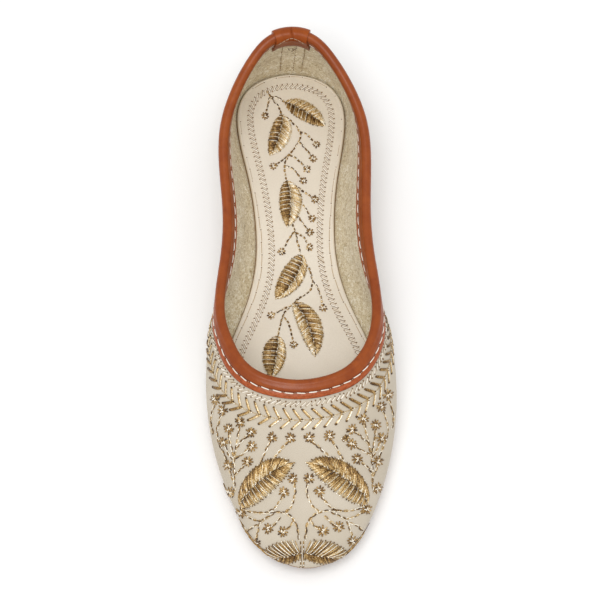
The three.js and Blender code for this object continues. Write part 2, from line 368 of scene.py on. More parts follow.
# ---- Vamp embroidery ---------------------------------------------------------------------------
# Zari work in gold and cream metal thread, sewn by hand before the upper is lasted: satin leaves and
# sprays of small flowers on chain-stitched stems. It is charted in millimetres across the shoe and
# up from the toe, as the vamp looks from above and a little in front.
CHART_TILT = np.radians(70)
CHART_START = -30.0
CHART_SHIFT = -2.8
CHART_SPREAD = 0.055
chance = np.random.default_rng(11)


def land(chart):
    """Ring and up of the vamp's points for chart points: the nearest of a coarse net, then
    Newton's method on the two chart coordinates of the face."""
    across = chart[..., 0] + CHART_SHIFT + CHART_SPREAD * np.abs(chart[..., 0])
    aim = np.stack([across, chart[..., 1] + CHART_START], -1).reshape(-1, 2)

    def seen(ring, up):
        """The face's chart points: x, and y times the tilt's sine plus z times its cosine."""
        x, y, z = np.moveaxis(face(ring, up), -1, 0)
        return np.stack([x, y * np.sin(CHART_TILT) + z * np.cos(CHART_TILT)], -1)

    net_ring, net_up = (g.ravel() for g in np.meshgrid(np.linspace(-130, 130, 105),
                                                       np.linspace(0.14, 1, 36)))
    net = seen(net_ring, net_up)
    near = np.concatenate([
        np.argmin(((block[:, None] - net[None]) ** 2).sum(-1), 1)
        for block in np.array_split(aim, len(aim) // 500 + 1)
    ])
    ring, up = net_ring[near], net_up[near]
    for _ in range(8):
        miss = aim - seen(ring, up)
        by_ring = (seen(ring + 0.2, up) - seen(ring - 0.2, up)) / 0.4
        by_up = (seen(ring, up + 0.002) - seen(ring, up - 0.002)) / 0.004
        size = by_ring[:, 0] * by_up[:, 1] - by_ring[:, 1] * by_up[:, 0]
        size = np.where(np.abs(size) < 2, np.copysign(2, size), size)
        step_ring = (miss[:, 0] * by_up[:, 1] - miss[:, 1] * by_up[:, 0]) / size
        step_up = (miss[:, 1] * by_ring[:, 0] - miss[:, 0] * by_ring[:, 1]) / size
        ring = ring + np.clip(step_ring, -2, 2)
        up = np.clip(up + np.clip(step_up, -0.03, 0.03), 0.1, 0.995)
    return ring.reshape(chart.shape[:-1]), up.reshape(chart.shape[:-1])


def on_vamp(chart):
    """Points and normals of the face for chart points."""
    ring, up = land(chart)
    return face(ring, up), outward(ring, up)


def thread_mesh(points, normals, half, flat, sides):
    """Short closed threads, one to a row of points: an ellipse carried along the row, half as
    wide as given to each side and flattened towards the surface, with a flat cap at each end."""
    along = unit(np.gradient(points, axis=1))
    side = unit(np.cross(along, normals))
    over = np.cross(side, along)
    angle = np.arange(sides) * 2 * np.pi / sides
    across = half[..., None, None] * np.cos(angle)[:, None] * side[:, :, None]
    across = across + flat * half[..., None, None] * np.sin(angle)[:, None] * over[:, :, None]
    count, stations = points.shape[:2]
    starts = (np.arange(count) * stations * sides)[:, None, None]
    walls = (starts + quads(stations, sides, wrap=False)[None]).reshape(-1, 4)
    first = (starts[:, 0] + np.arange(sides)).reshape(-1, sides)
    last = first[:, ::-1] + (stations - 1) * sides
    return (points[:, :, None] + across).reshape(-1, 3), [walls, np.concatenate([first, last])]


class Needlework:
    """Threads gathered for one mesh, each on its chart route with its lift, half width and tone."""

    def __init__(self, surface, sides=6):
        self.surface = surface
        self.sides = sides
        self.rows = []

    def sew(self, route, lift, half, tone):
        """Adds threads that have the same number of points: route is (threads, points, 2)."""
        self.rows.append([route, *(np.broadcast_to(v, route.shape[:2]) for v in (lift, half, tone))])

    def finish(self, name, material, flat=0.8):
        """Makes one mesh of all the threads, laid on the surface and raised by their lifts."""
        points, faces, tones, start = [], [[], []], [], 0
        for route, lift, half, tone in self.rows:
            on, normals = self.surface(route)
            made, groups = thread_mesh(on + lift[..., None] * normals, normals, half, flat, self.sides)
            points.append(made)
            tones.append(np.repeat(tone.ravel(), self.sides))
            for group, more in zip(faces, groups):
                group.append(more + start)
            start += len(made)
        faces = [np.concatenate(group) for group in faces]
        fields = {"tone": np.concatenate(tones)}
        return add_piece(name, np.concatenate(points), faces, material, fields, sharp=80)


def stations(count):
    """Places along a thread from 0 to 1, closer together at its ends."""
    return (1 - np.cos(np.linspace(0, np.pi, count))) / 2


SATIN_PITCH, SATIN_HALF, SATIN_PAD = 0.42, 0.25, 0.9
TOOTH_PITCH, TOOTH_HALF = 1.3, 0.26
RIB_BEAD_PITCH, RIB_BEAD_HALF = 1.5, 0.22
STEADY = (0.06, 0.06)


def satin_leaf(work, base, tip, left, right, rib, tones, lean, blunt=0.0, streaks=(0, 0), bold=0.0,
               taper=(0.6, 0.6), mottle=STEADY, tooth=(0.65, 0.3), mirror=1):
    """A padded satin leaf. Its edges stand off the line from base to tip by a width times
    u to the 0.58 times (1 - u) to the taper, scaled to 1 at its widest, and its rib by less.
    Threads run from the rib to each edge, leaning towards the tip, and short dark and cream teeth
    lie across the edge. tones gives each half's shade at the rib, halfway and at the edge; lean,
    how far its threads lean near the base and near the tip; streaks, how many threads lie
    between two cream ones, and bold, how much wider and paler these are; mottle, how uneven the
    shade is near the rib; tooth, how far the teeth stick out and the share of cream ones."""
    base, tip = np.array(base, float), np.array(tip, float)
    length = np.hypot(*(tip - base))
    ahead = (tip - base) / length
    aside = np.array([-ahead[1], ahead[0]])

    def off(u, width, sharp=0.6):
        """How far a line of the given greatest width stands off the middle."""
        w = blunt + (1 - blunt) * np.clip(u, 0, 1)
        widest = 0.58 / (0.58 + sharp)
        return width * (w / widest) ** 0.58 * ((1 - w) / (1 - widest)) ** sharp

    def chart(u, v):
        """The chart point at a share u of the length and v millimetres aside."""
        spot = base + u[..., None] * length * ahead + v[..., None] * aside
        return spot * np.array([mirror, 1])

    v = stations(7)
    # Painted sheen with the gold's own tone: each half's tones paint its threads lighter or darker than
    # the other half's, as threads slanting apart would catch the light, and mottle adds uneven painted
    # glints near the rib.
    halves = zip((left, -right), tones, lean, streaks, taper, mottle)
    for width, tone_and_sheen, slant, streak, sharp, uneven in halves:
        count = int(length / SATIN_PITCH)
        number = np.arange(count)
        w = (number + 0.5 + chance.uniform(-0.2, 0.2, count)) / count
        start = w[:, None]

        def thread(start, t):
            """Chart points of threads from the rib at start, t of the way to the edge or past it
            by millimetres when t is given as a pair of a share and millimetres, and the threads'
            whole lengths."""
            share, past = t if isinstance(t, tuple) else (t, 0.0)
            rounded = np.sqrt(np.sin(np.pi * np.clip(start, 0, 1)))
            end = start + np.interp(start, (0.1, 0.9), slant) * rounded
            long = np.hypot((end - start) * length, off(end, width, sharp) - off(start, rib)) + 0.3
            share = share + past / long
            rise = off(start, rib) * (1 - share) + off(end, width, sharp) * share
            return chart(start + (end - start) * share, rise), long

        route, long = thread(start, (v, v * chance.normal(0, 0.08, (count, 1))))
        pad = np.minimum(SATIN_PAD, 0.15 * long) * np.sqrt(np.clip(4 * v * (1 - v), 0, 1))
        lift = 0.15 + pad + chance.normal(0, 0.03, (count, 1))
        shade = np.interp(v, (0, 0.5, 1), tone_and_sheen) + 0.16 * smooth((start - 0.72) / 0.2)
        shade = shade + chance.normal(0, 0.11, (count, 1))
        shade = shade + chance.normal(0, 1, (count, 7)) * np.interp(v, (0, 1), (uneven, 0.06))
        cream = np.zeros(count, bool)
        if streak:
            cream = (number % streak == streak // 2) & (w < 0.65 + 0.2 * bold)
            cream = cream & (chance.random(count) < 0.9)
            bright = 0.88 + 0.1 * bold + chance.normal(0, 0.07, (count, 7))
            shade = np.where(cream[:, None], bright, shade)
        lift = lift + 0.08 * bold * cream[:, None]
        half = np.where(cream, 0.62 + 0.4 * bold, 1)[:, None] * chance.uniform(0.8, 1.15, (count, 1))
        half = SATIN_HALF * half * np.array([0.5, 0.9, 1, 1, 1, 0.9, 0.6])
        work.sew(route, lift, half, np.clip(shade, 0, 1))
        count = int(length / TOOTH_PITCH)
        start = ((np.arange(count) + chance.uniform(0.3, 0.7, count)) / count * 0.95)[:, None]
        past = np.linspace(-0.35, tooth[0], 4) * chance.uniform(0.7, 1.2, (count, 1))
        route, long = thread(start, (1.0, past))
        glint = np.where(chance.random((count, 1)) < tooth[1], 0.92, 0.1)
        work.sew(route, 0.32, TOOTH_HALF * np.array([0.6, 1, 1, 0.6]), glint)
    beads = int(length / RIB_BEAD_PITCH)
    u = np.linspace(0.05, 0.96, beads)[:, None] + np.linspace(0, 0.8, 5) / length
    half = RIB_BEAD_HALF * np.array([0.4, 1, 1.1, 1, 0.4])
    sway = chance.normal(0, 0.15, (beads, 1))
    glint = np.where(np.arange(beads) % 3 == 2, 0.08, 0.97)[:, None]
    work.sew(chart(u, off(u, rib) + sway), 0.55, half, glint)


def flow(corners, step):
    """A smooth curve through the corners, a Catmull-Rom spline measured by length: the function
    that gives its point at a distance, and distances about a step apart."""
    p = np.asarray(corners, float)
    p = np.concatenate([[2 * p[0] - p[1]], p, [2 * p[-1] - p[-2]]])
    t = np.linspace(0, 1, 12, endpoint=False)[:, None, None]
    a, b, c, d = p[:-3], p[1:-2], p[2:-1], p[3:]
    dense = 0.5 * (2 * b + (c - a) * t + (2 * a - 5 * b + 4 * c - d) * t**2
                   + (3 * b - a - 3 * c + d) * t**3)
    dense = np.concatenate([dense.transpose(1, 0, 2).reshape(-1, 2), [p[-2]]])
    run = np.concatenate([[0], np.cumsum(np.hypot(*np.diff(dense, axis=0).T))])
    count = max(2, int(round(run[-1] / step)) + 1)
    places = np.linspace(0, run[-1], count)

    def spot(s):
        """The curve's point at a distance along it."""
        return np.stack([np.interp(s, run, dense[:, i]) for i in (0, 1)], -1)

    return spot, places


CATCH_HALF = 0.24


def chain_stem(work, corners, mirror=1, link=2.7, width=0.4, thick=0.29, cover=(0.7, 0.88), dark=0.0):
    """A chain-stitched stem: along a smooth curve, links of a dark and a pale strand that part and
    meet, with a dark or cream catch stitch where one link holds the next. width is how far the
    strands part and thick their half width, cover the least and the greatest share of a link that
    they run, and dark how much darker they are than most."""
    spot, places = flow(corners, link)
    starts, size = places[:-1, None], places[1] - places[0]
    t = stations(6)
    flip = np.array([mirror, 1])

    def route(along, aside):
        """Chart points at distances along the curve and to its side."""
        ahead = unit(spot(along + 0.3) - spot(along - 0.3))
        across = np.stack([-ahead[..., 1], ahead[..., 0]], -1)
        return (spot(along) + aside[..., None] * across) * flip

    count = len(starts)
    bulge = np.sin(np.pi * t) ** 0.7
    thin = np.array([0.7, 1, 1.1, 1.1, 1, 0.7])
    turn = chance.choice([-1, 1], (count, 1))
    for side, strand, tone in ((turn, thick, 0.24), (-turn, 0.75 * thick, 0.82)):
        along = starts + size * (0.08 + chance.uniform(*cover, (count, 1)) * t)
        aside = side * width * bulge * chance.uniform(0.5, 1.2, (count, 1))
        half = strand * thin * chance.uniform(0.8, 1.2, (count, 1))
        shade = tone - dark + chance.normal(0, 0.14, (count, 1)) + chance.normal(0, 0.08, (count, 6))
        work.sew(route(along, aside), 0.18, half, np.clip(shade, 0, 1))
    t = stations(5)
    along = starts + size * (0.84 + 0.32 * t)
    half = CATCH_HALF * np.array([0.4, 1, 1.15, 1, 0.4])
    glint = np.where(chance.random((count, 1)) < 0.6, 0.97, 0.15)
    work.sew(route(along, chance.normal(0, 0.12, (count, 1)) + 0 * t), 0.3, half, glint)


RAY_HALF, HEART = 0.38, 0.6
HEART_KNOTS, KNOT_HALF = 7, 0.25


def flower(work, centre, mirror=1, size=2.65, petals=10):
    """A small flower of straight stitches: golden brown rays at even turns round its centre, over
    them a heart of cream and brown knots."""
    turn = chance.uniform(0, 2 * np.pi) + np.arange(petals) * 2 * np.pi / petals
    turn = turn + chance.normal(0, 0.09, petals)
    ray = np.stack([np.cos(turn), np.sin(turn)], -1)[:, None]
    reach = size * chance.uniform(0.82, 1.08, petals)[:, None]
    t = stations(5)
    centre, flip = np.array(centre, float), np.array([mirror, 1])
    out = HEART + (reach - HEART) * t
    tone = 0.3 + chance.normal(0, 0.12, (petals, 1)) + np.array([0.1, 0.04, 0, -0.05, -0.12])
    half = RAY_HALF * np.array([0.7, 1, 1.1, 1, 0.6])
    work.sew((centre + out[..., None] * ray) * flip, 0.24, half, np.clip(tone, 0.02, 0.6))
    turn = chance.uniform(0, 2 * np.pi) + np.arange(HEART_KNOTS) * 2 * np.pi / HEART_KNOTS
    ray = np.stack([np.cos(turn), np.sin(turn)], -1)[:, None]
    out = 0.1 + chance.uniform(0.55, 1.5, (HEART_KNOTS, 1)) * t
    tone = np.where(np.arange(HEART_KNOTS) % 3 == 1, 0.12, 0.98)[:, None]
    half = KNOT_HALF * np.array([0.6, 1, 1, 1, 0.5])
    work.sew((centre + out[..., None] * ray) * flip, 0.46, half, tone)


gold = Finish("gold_thread", 0.36, Metallic=0.45, Specular_IOR_Level=0.6)
# Painted sparkle: fine noise lifts and lowers every thread's tone, glints of highlight and specks of
# shade painted on the metal.
painted_sparkle = gold.math("MULTIPLY_ADD", gold.noise(0.55, 2), 1.4, -0.7)
shade = gold.math("ADD", gold.field("tone"), painted_sparkle)
gold.color(gold.ramp(shade, (0.0, tint(70, 46, 20)), (0.25, tint(132, 98, 50)),
                     (0.5, tint(184, 148, 90)), (0.75, tint(226, 203, 156)), (1.0, tint(252, 247, 234))))

# Each half of the vamp has the same pattern: big leaf, toe leaf, flowers and stems. left is the
# big leaf's half on the toe side, and the toe leaf's half on the throat side.
# Painted sheen with the gold's own tone: tones paints each leaf's two halves apart in light and shade.
BIG_LEAF = dict(base=(28.4, -54.0), tip=(3.3, -34.6), left=3.4, right=10.0, rib=-3.9,
                tones=((0.1, 0.4, 0.66), (0.6, 0.42, 0.26)), lean=((-0.06, 0.13), (0.14, 0.2)),
                streaks=(5, 0), taper=(0.85, 0.52), mottle=(0.16, 0.3))
TOE_LEAF = dict(base=(1.2, -73.4), tip=(19.4, -77.2), left=5.6, right=5.0, rib=-1.6,
                tones=((0.18, 0.28, 0.4), (0.14, 0.3, 0.38)), lean=((0.34, 0.36), (0.1, 0.14)),
                blunt=0.16, streaks=(3, 0), bold=0.6, mottle=(0.16, 0.1))
FLOWERS = (
    (4.1, -22.9), (12.9, -22.5), (27.8, -15.4), (33.2, -18.5), (22.7, -20.0), (22.5, -26.4),
    (24.7, -33.3), (35.8, -24.6), (33.8, -35.0), (36.0, -10.2), (39.4, -5.2), (33.5, -47.3),
    (28.3, -56.4), (21.8, -70.5), (3.6, -41.3), (7.9, -47.1), (15.8, -63.5), (9.0, -65.0),
)
STEMS = (
    ((5.2, -24.4), (6.6, -25.8), (9.6, -28.7), (12.3, -31.6)),  # row of flowers above the leaf
    ((13.8, -24.4), (15.1, -26.6), (17.2, -30.7), (18.7, -33.8)),
    ((3.2, -43.3), (2.6, -46.0), (3.1, -49.7), (4.9, -53.8), (7.7, -56.6)),  # between the leaves
    ((8.5, -49.0), (9.8, -51.1), (12.2, -54.0), (15.5, -55.9)),
    ((28.4, -54.1), (25.0, -55.6), (21.0, -56.4), (17.1, -56.4), (12.2, -56.0), (7.8, -56.5),
     (5.0, -58.1), (3.1, -60.6), (1.9, -64.0), (1.4, -69.0)),
    ((12.7, -56.3), (16.0, -58.5), (19.3, -60.7), (20.5, -63.9), (21.7, -68.4)),
    ((20.4, -61.9), (23.7, -63.3), (26.4, -66.0)),
    ((27.2, -56.9), (25.0, -58.2), (22.1, -59.6), (18.4, -60.1)),
    ((9.7, -58.0), (11.9, -60.6), (14.2, -62.5)),
    ((3.8, -60.2), (5.6, -62.9), (7.6, -64.1)),
    ((32.6, -50.0), (31.3, -46.5), (31.2, -40.1), (31.2, -33.2), (29.9, -27.0), (28.9, -21.5),
     (28.1, -17.2)),  # trunk at the side
    ((30.0, -27.0), (26.7, -23.3), (24.1, -21.2)),
    ((30.8, -32.0), (27.4, -30.0), (24.0, -27.4)),
    ((31.2, -39.8), (28.6, -37.0), (26.3, -34.8)),
    ((31.2, -31.0), (32.6, -25.5), (33.2, -20.4)),
    ((31.4, -32.6), (33.8, -29.3), (35.2, -26.2)),
    ((31.3, -42.0), (32.6, -39.5), (33.5, -37.0)),
    ((36.3, -12.0), (37.6, -14.5), (38.6, -18.6), (38.4, -23.4), (36.6, -28.0), (34.4, -33.0)),
    ((39.4, -7.0), (40.9, -11.5), (41.6, -16.5), (40.6, -21.0)),
)

leaves = Needlework(on_vamp)
sprays = Needlework(on_vamp, sides=5)
TOE_SEAM = ((0.65, -69.2), (0.62, -74.0), (0.6, -84.0))
for mirror in (1, -1):
    satin_leaf(leaves, **BIG_LEAF, mirror=mirror)
    satin_leaf(leaves, **TOE_LEAF, mirror=mirror)
    for centre in FLOWERS:
        flower(sprays, centre, mirror)
    for corners in STEMS:
        chain_stem(sprays, corners, mirror)
    chain_stem(sprays, TOE_SEAM, mirror, link=1.9, width=0.16, thick=0.2, cover=(1.0, 1.1), dark=0.3)
BUD_TONES = (0.2, 0.3, 0.2)  # one bud, on the right only
satin_leaf(leaves, (18.4, -25.0), (21.2, -22.6), 1.3, 1.3, 0.0, (BUD_TONES, BUD_TONES), ((0, 0), (0, 0)))
leaves.finish("vamp_leaves", gold.material)
sprays.finish("vamp_sprays", gold.material)

# ---- Herringbone band --------------------------------------------------------------------------
# Worked round the topline before the collar is bound: a rope of slanted cream stitches next to
# the binding, and a row of herringbone arrows in gold and cream, all pointing the same way round.
FLANGE = 5.6


def up_below_rim(ring, depth):
    """Up of the place that lies a straight distance below the rim, by scaling its chord."""
    ring, depth = np.broadcast_arrays(np.asarray(ring, float), np.asarray(depth, float))
    rim = face(ring, 1)
    up = 1 - depth / 60  # a first guess
    for _ in range(8):
        chord = np.linalg.norm(rim - face(ring, up), axis=-1)
        up = 1 - (1 - up) * np.maximum(depth, 0) / np.maximum(chord, 1e-9)
        up = np.clip(up, 0.02, 1 - 1e-6)
    return np.where(depth > 0, up, 1.0)


def paces(line, pitch):
    """Ring places an even pitch apart along a line of points round the whole ring, starting at
    the toe end, and the millimetres that one unit of ring measures there."""
    ring = np.linspace(0, 2 * HALF_RING, 1601)
    run = np.concatenate([[0], np.cumsum(np.linalg.norm(np.diff(line(ring), axis=0), axis=1))])
    count = int(round(run[-1] / pitch))
    places = np.interp(np.arange(count) * run[-1] / count, run, ring)
    speed = np.interp(places, (ring[1:] + ring[:-1]) / 2, np.diff(run) / np.diff(ring))
    return places, speed


def below_rim(depth):
    """The line round the face at a depth below the rim, as a function of ring."""
    return lambda ring: face(ring, up_below_rim(ring, depth))


def round_shoe(ring, speed, ahead, depth):
    """Routes of threads at each place on the ring: millimetres ahead of it, and the depth."""
    ahead, depth = np.broadcast_arrays(ahead, depth)
    shape = (len(ring), ahead.shape[-1])
    along = ring[:, None] + np.broadcast_to(ahead, shape) / speed[:, None]
    return np.stack([along, np.broadcast_to(depth, shape)], -1)


def on_band(place):
    """Points and normals of the face for (ring, depth below the rim)."""
    up = up_below_rim(place[..., 0], place[..., 1])
    return face(place[..., 0], up), outward(place[..., 0], up)


ARROW_PITCH = 4.8
ARROW_DEPTH = FLANGE + 9.5
UPPER_ARM = (4.1, FLANGE + 4.7)  # how far behind the arrow's point it starts, and how deep
LOWER_ARM = (4.4, FLANGE + 13.5)
ARROW_HALF = 0.29
BEAD = np.array([-0.5, -0.2, 0.2, 0.5])  # a short thick stitch: places along it, and its swell
BEAD_SHAPE = np.array([0.5, 1.0, 1.0, 0.5])
arrows = Needlework(on_band)
ring, speed = paces(below_rim(ARROW_DEPTH), ARROW_PITCH)
t = stations(6)
side = np.where(ring > HALF_RING, ring - 2 * HALF_RING, ring)
side = np.sin(np.clip(side / 42, -1.57, 1.57))  # from -1 to 1 across the throat
# Painted sheen: the flat metal thread is painted dark on the upper arms on one side of the throat and on
# the lower arms on the other, where its slant would turn it from the light, and the lower arms are
# painted paler all round; dark is this painted shade.
for (back, depth), shaded_side in ((UPPER_ARM, 1), (LOWER_ARM, -1)):
    dark = np.clip(side * shaded_side, 0, 1)[:, None]
    pale = 0.14 if depth > ARROW_DEPTH else -0.12
    for strand, cream in ((-0.4, 0.42), (0.0, 0.66), (0.4, 0.88)):
        ahead = (strand - back) * (1 - t) + (strand - 0.1) * t
        bright = cream + pale + np.array([-0.3, -0.05, 0, 0, 0, -0.1])
        dull = 0.08 + 0.26 * t**2 + 0.3 * (cream - 0.4)
        tone = bright * (1 - dark) + dull * dark + chance.normal(0, 0.06, (len(ring), 1))
        half = (ARROW_HALF + 0.09 * dark) * np.array([0.7, 1, 1, 1, 0.9, 0.6])
        arrows.sew(round_shoe(ring, speed, ahead, depth + (ARROW_DEPTH - depth) * t),
                   0.14 + 0.34 * np.sin(np.pi * t), half, np.clip(tone, 0.03, 1))
    size = 0.42 if depth < ARROW_DEPTH else 0.55
    arrows.sew(round_shoe(ring, speed, BEAD * 1.1 - back - 0.1, depth), 0.2, size * BEAD_SHAPE, 0.04)
POINT_BEADS = ((0.1, -0.35, 0.4, 0.05), (-0.5, 0.55, 0.32, 0.12), (0.9, 0.2, 0.22, 0.95))
for ahead, depth, size, tone in POINT_BEADS:
    arrows.sew(round_shoe(ring, speed, ahead + 0.8 * BEAD, ARROW_DEPTH + depth), 0.34,
               size * BEAD_SHAPE, tone)
for bow in (-0.22, 0.22):
    arrows.sew(round_shoe(ring, speed, ARROW_PITCH * t, ARROW_DEPTH + bow * np.sin(np.pi * t)),
               0.1, 0.09, 0.62)
arrows.finish("herringbone_band", gold.material)

ROPE_TOP, ROPE_FOOT = FLANGE + 1.6, FLANGE + 3.2
ROPE_PITCH = 2.3
cream = Finish("cream_thread", 0.55, Specular_IOR_Level=0.4)
cream.color(cream.ramp(cream.field("tone"), (0.0, tint(104, 72, 36)), (0.4, tint(178, 152, 116)),
                       (0.7, tint(214, 200, 176)), (1.0, tint(246, 240, 228))))
rope = Needlework(on_band, sides=5)
ring, speed = paces(below_rim((ROPE_TOP + ROPE_FOOT) / 2), ROPE_PITCH)
for strand, tone, half in ((-0.35, 0.22, 0.15), (0.0, 0.95, 0.24), (0.45, 0.7, 0.17)):
    tones = tone + chance.normal(0, 0.1, (len(ring), 1))
    ahead = strand + 2.1 * t + chance.normal(0, 0.16, (len(ring), 1))
    rope.sew(round_shoe(ring, speed, ahead, ROPE_FOOT + (ROPE_TOP - ROPE_FOOT) * t),
               0.08 + 0.14 * np.sin(np.pi * t), half, np.clip(tones, 0, 1))
for ahead, depth, share in ((2.1, ROPE_TOP - 0.35, 0.85), (-0.2, ROPE_FOOT + 0.2, 0.75)):
    dark = chance.random((len(ring), 1)) < share
    aside = chance.normal(0, 0.25, (len(ring), 1))
    size = np.where(dark, chance.uniform(0.36, 0.58, (len(ring), 1)), 0.2)
    deep = depth + chance.normal(0, 0.2, (len(ring), 1))
    rope.sew(round_shoe(ring, speed, ahead + 0.6 * BEAD + aside, deep), 0.14, size * BEAD_SHAPE,
             np.where(dark, 0.08, 0.5))
rope.finish("rope_row", cream.material)

# ---- Collar binding ----------------------------------------------------------------------------
# A strip of tan leather folded over the rim, padded to a round roll on top, with its two edges
# sewn down through the upper by a row of off-white saddle stitches that pull them into a groove.
BINDING = 1.0
ROLL = 1.85
ROLL_RISE = 0.9
STITCH_DEPTH = 2.9
TAIL_DEPTH = 8.0
SADDLE_HALF = 0.27


def beside(ring, depth, out):
    """Points by the collar: depth below the rim along the wall, or above it when negative, and
    distance out from the face."""
    ring, depth, out = np.broadcast_arrays(*(np.asarray(v, float) for v in (ring, depth, out)))
    up = up_below_rim(ring, depth)
    rising = unit(face(ring, 1) - face(ring, 0.99))
    above = np.minimum(depth, 0)[..., None]
    return face(ring, up) + outward(ring, up) * out[..., None] - rising * above


def strip(ring, path, thickness, tail=1.0):
    """A strip round the collar: a path of (depth, out) thickened to both sides, as a closed loop
    of points for each place on the ring. tail is the share of the inner leg that is left there
    below TAIL_DEPTH. ring may have a row of places, one for each point of the loop."""
    path = np.asarray(path, float)
    thickness = np.broadcast_to(thickness, len(path))[:, None]
    ahead = np.gradient(path, axis=0)
    side = np.stack([-ahead[:, 1], ahead[:, 0]], 1) / np.hypot(*ahead.T)[:, None]
    loop = np.concatenate([path - side * thickness / 2, (path + side * thickness / 2)[::-1]])
    ring = ring if ring.ndim == 2 else ring[:, None]
    depth, tail = np.broadcast_arrays(loop[None, :, 0], np.broadcast_to(tail, len(ring))[:, None])
    cut_off = (loop[:, 1] < -WALL / 2) & (depth > TAIL_DEPTH)
    depth = np.where(cut_off, TAIL_DEPTH + (depth - TAIL_DEPTH) * tail, depth)
    return beside(ring, depth, loop[None, :, 1])


def roll_path(radius, start, steps):
    """An arc over the rim from the outer side to the inner, start radians below its middle."""
    angle = np.linspace(start, np.pi - start, steps)
    return np.stack([-ROLL_RISE - radius * np.sin(angle), -WALL / 2 + radius * np.cos(angle)], 1)


def both_sides(leg, arch):
    """A path up the outer leg, over the arch and down the same leg on the inner side."""
    leg = np.asarray(leg, float)
    inner = np.stack([leg[::-1, 0], -WALL - leg[::-1, 1]], 1)
    return np.concatenate([leg, arch, inner])


def tan_leather(name, specular, coat):
    """Smooth tan leather, darker in its wrinkles and painted darker by a field of painted shade and a
    dark edge, and pale with a fibrous streak where "cut" is 1."""
    tan = Finish(name, 0.38, Specular_IOR_Level=specular, Coat_Weight=coat, Coat_Roughness=0.2)
    wrinkle = tan.noise(2.6, 4, 0.6)
    streaks = tan.noise(1.6, 3, 0.6, (1, 1, 3))
    cut = tan.field("cut")
    base_tint = tan.mix(tan.span(tan.noise(9, 3), 0.35, 0.65), tint(134, 62, 19), tint(148, 73, 26))
    base_tint = tan.mix(tan.span(wrinkle, 0.5, 0.8, 0.0, 0.45), base_tint, tint(108, 46, 14))
    on_cut = tan.math("MULTIPLY", cut, tan.span(streaks, 0.35, 0.65))
    base_tint = tan.mix(on_cut, base_tint, tint(172, 88, 50))
    # Painted shade: where the darkening field is 1, the leather is mixed three quarters of the way to
    # near black.
    tan.color(tan.mix(tan.math("MULTIPLY", tan.field("painted_shade_and_dark_edge"), 0.75), base_tint, tint(66, 20, 3)))
    tan.rough(tan.math("MULTIPLY_ADD", cut, 0.14, tan.span(wrinkle, 0.3, 0.7, 0.3, 0.46)))
    tan.relief((wrinkle, 0.12), (tan.cells(0.6), 0.04))
    return tan.material


seat = GAP + BINDING / 2
flange = [(FLANGE, seat - 0.27), (FLANGE - 0.35, seat - 0.2), (FLANGE - 0.8, seat - 0.12),
          (4.2, seat - 0.06), (3.5, seat - 0.12), (STITCH_DEPTH + 0.1, seat - 0.24), (2.4, seat - 0.2),
          (1.9, seat + 0.02), (1.3, seat + 0.18), (0.6, seat + 0.22)]
ring = np.linspace(0, 2 * HALF_RING, 640, endpoint=False)
path = both_sides(flange, roll_path(ROLL, -0.3, 17))
thickness = np.interp(path[:, 0], (FLANGE - 1.8, FLANGE), (BINDING, 0.45))  # pared at its edges
points = strip(ring, path, thickness)
depth = np.concatenate([path[:, 0], path[::-1, 0]])
# Painted shade in the groove that the stitches pull, and darker along the flange's edge.
groove_shade_and_edge = np.exp(-(((depth - STITCH_DEPTH + 0.35) / 0.35) ** 2)) + 0.9 * (depth > FLANGE - 0.2)
on_edge = smooth((depth - STITCH_DEPTH - 0.2) / 0.5)
fields = {"painted_shade_and_dark_edge": np.tile(groove_shade_and_edge, len(ring)), "cut": np.tile(on_edge, len(ring))}
faces = [quads(*points.shape[:2])]
leather = tan_leather("tan_leather", 0.22, 0.16)
binding = add_piece("collar_roll", points, faces, leather, fields, sharp=50)
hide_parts("collar_binding")

cotton = Finish("off_white_thread", 0.6, Specular_IOR_Level=0.3)
shade = cotton.math("MULTIPLY_ADD", cotton.noise(0.5, 2), 0.3, cotton.field("tone"))
cotton.color(cotton.ramp(shade, (0.0, tint(96, 44, 20)), (0.3, tint(170, 146, 118)),
                         (0.8, tint(226, 214, 198)), (1.0, tint(240, 232, 220))))


def on_binding(side):
    """Points and normals on the binding for (ring, depth): its outer leather for side 1, its
    inner leather for side -1."""
    def surface(place):
        """The leather's outer side where the stitches pull it into a groove."""
        up = up_below_rim(place[..., 0], place[..., 1])
        normal = outward(place[..., 0], up)
        out = GAP + BINDING - 0.24
        out = out if side > 0 else -WALL - out
        return face(place[..., 0], up) + normal * out, normal * side
    return surface


for name, side, size, pitch in (("outer_saddle_stitches", 1, 4.1, 5.4),
                                ("inner_saddle_stitches", -1, 4.3, 5.8)):
    sewing = Needlework(on_binding(side), sides=8)
    ring, speed = paces(below_rim(STITCH_DEPTH), pitch)
    t = stations(7)
    ahead = size * chance.uniform(0.9, 1.06, (len(ring), 1)) * (t - 0.5)
    slant = 0.3 * (t - 0.5)
    wander = STITCH_DEPTH + chance.normal(0, 0.07, (len(ring), 1))
    wander = wander + slant + chance.normal(0, 0.1, (len(ring), 1)) * (t - 0.5)
    half = SADDLE_HALF * np.array([0.5, 0.85, 1, 1, 1, 0.85, 0.5])
    sewing.sew(round_shoe(ring, speed, ahead, wander), 0.24 * np.sin(np.pi * t) ** 0.6 - 0.1, half,
               0.75 + chance.normal(0, 0.08, (len(ring), 1)))
    hole = size / 2 + 0.15  # where the thread goes in, from the middle of a stitch
    beads = ((pitch / 2, 0.6, 0.02, 0.2, 0.1), (hole, 0.5, -0.02, 0.22, -0.15),
             (pitch - hole, 0.5, -0.02, 0.22, -0.15))
    for place, long, lift, thick, tone in beads:
        route = round_shoe(ring, speed, place + long * BEAD, STITCH_DEPTH)
        sewing.sew(route, lift, thick * BEAD_SHAPE, tone)
    sewing.finish(name, cotton.material, flat=0.75)

